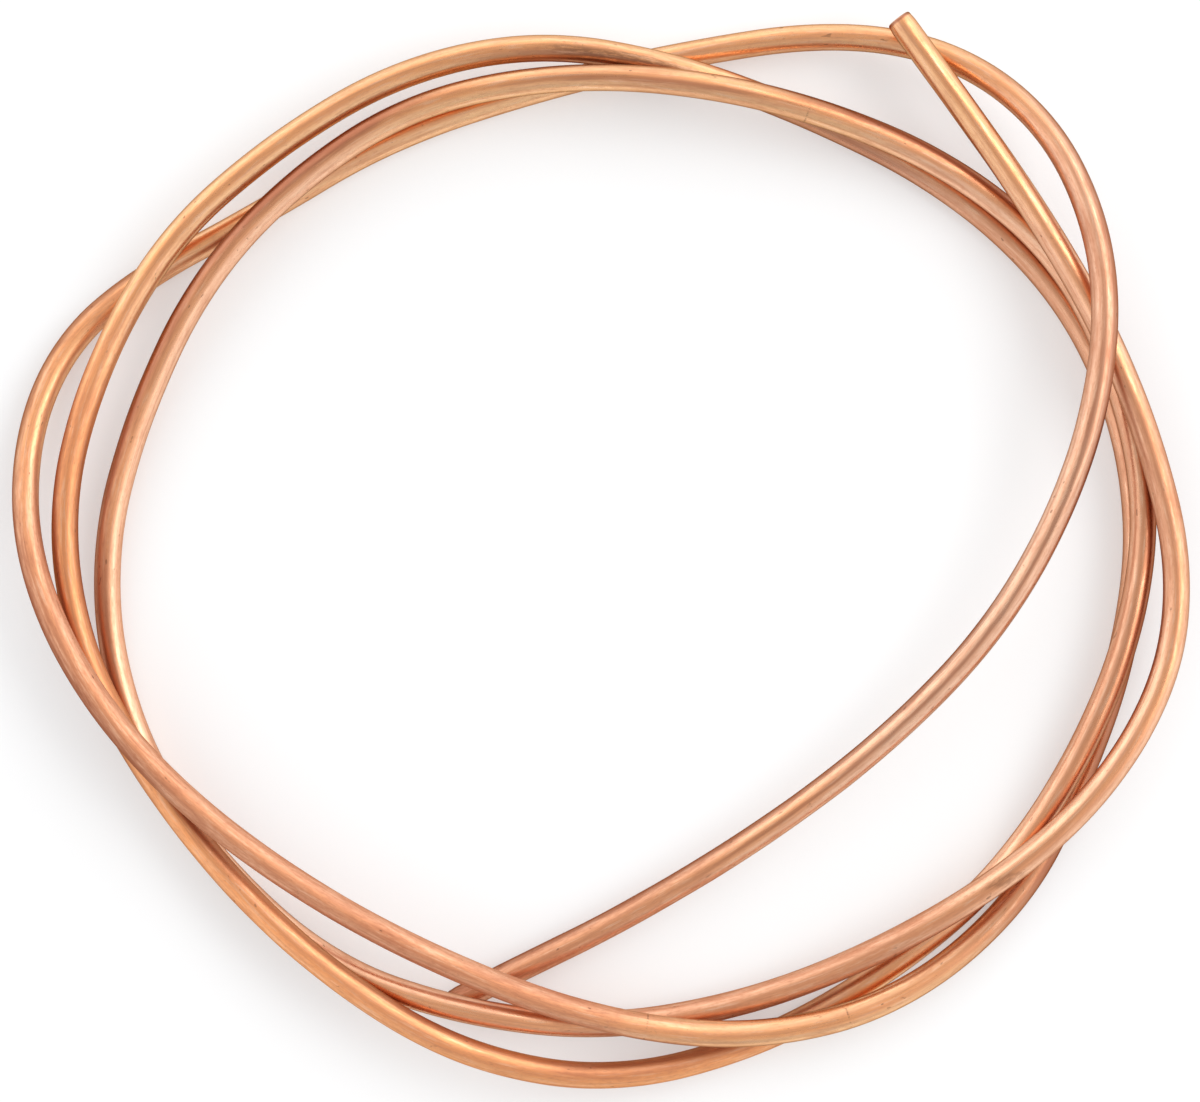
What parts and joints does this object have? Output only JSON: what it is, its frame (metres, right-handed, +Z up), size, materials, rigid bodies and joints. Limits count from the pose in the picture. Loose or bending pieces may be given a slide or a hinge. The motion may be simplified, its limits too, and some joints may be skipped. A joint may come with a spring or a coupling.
{
  "type": "copper tube coil",
  "caption": "Length of bare soft copper tube, bent cold into a loose open coil of crossing turns, with both ends cut square for fittings.",
  "frame": {"origin": "the floor under the middle of the coil's box", "axes": "+Z up from the floor the coil lies on, +X to the right and +Y away from a viewer who looks down with the free top end at the far right"},
  "size_m": [0.2817, 0.2576, 0.0263],
  "materials": {
    "bright_copper": "bare drawn copper, satin, with fine streaks along the tube"
  },
  "bodies": {
    "root": {"copper_tube": "bright_copper"}
  },
  "joints": []
}
